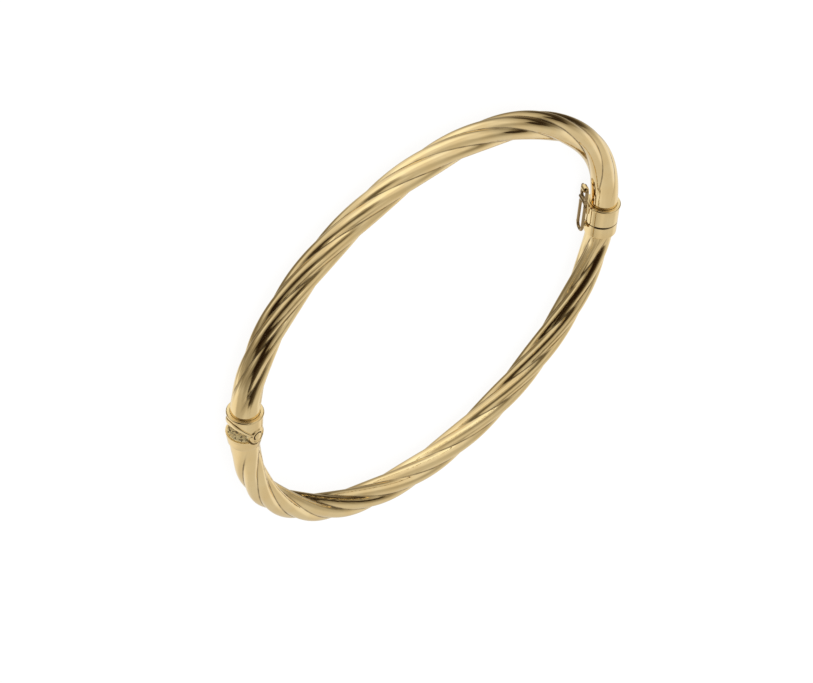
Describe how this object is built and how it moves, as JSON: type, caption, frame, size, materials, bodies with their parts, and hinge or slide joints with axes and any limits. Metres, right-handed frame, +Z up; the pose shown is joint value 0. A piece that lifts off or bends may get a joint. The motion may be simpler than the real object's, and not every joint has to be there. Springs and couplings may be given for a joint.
{
  "type": "twisted hollow bangle with hinge and safety catch",
  "caption": "Oval hinged bangle of twisted fluted hollow gold tube, with a box clasp and a figure-eight safety catch.",
  "frame": {"origin": "under the middle of the oval, on the surface that the bangle lies on", "axes": "+X from the clasp to the hinge, +Y towards the rear half tube, +Z up, along the wrist opening"},
  "size_m": [0.0708, 0.0624, 0.0049],
  "materials": {
    "twisted_gold": "polished yellow gold",
    "collar_gold": "polished yellow gold",
    "pin_gold": "polished yellow gold",
    "catch_gold": "polished yellow gold wire"
  },
  "bodies": {
    "front": {"front_tube": "twisted_gold", "front_hinge_collar": "collar_gold", "hinge_pin": "pin_gold", "clasp_box": "collar_gold"},
    "rear": {"rear_tube": "twisted_gold", "rear_hinge_collar": "collar_gold", "clasp_collar": "collar_gold"},
    "catch": {"safety_catch": "catch_gold"}
  },
  "joints": [
    {"name": "bangle_hinge", "type": "hinge", "parent": "front", "child": "rear", "pos_m": [0.03231, -0.00025, 0.00247], "axis": [0, 0, -1], "range_deg": [0, 38]},
    {"name": "catch_pivot", "type": "hinge", "parent": "front", "child": "catch", "pos_m": [-0.03031, -0.0061, 0.00114], "axis": [-0.4226, 0, -0.9063], "range_deg": [0, 100]}
  ]
}
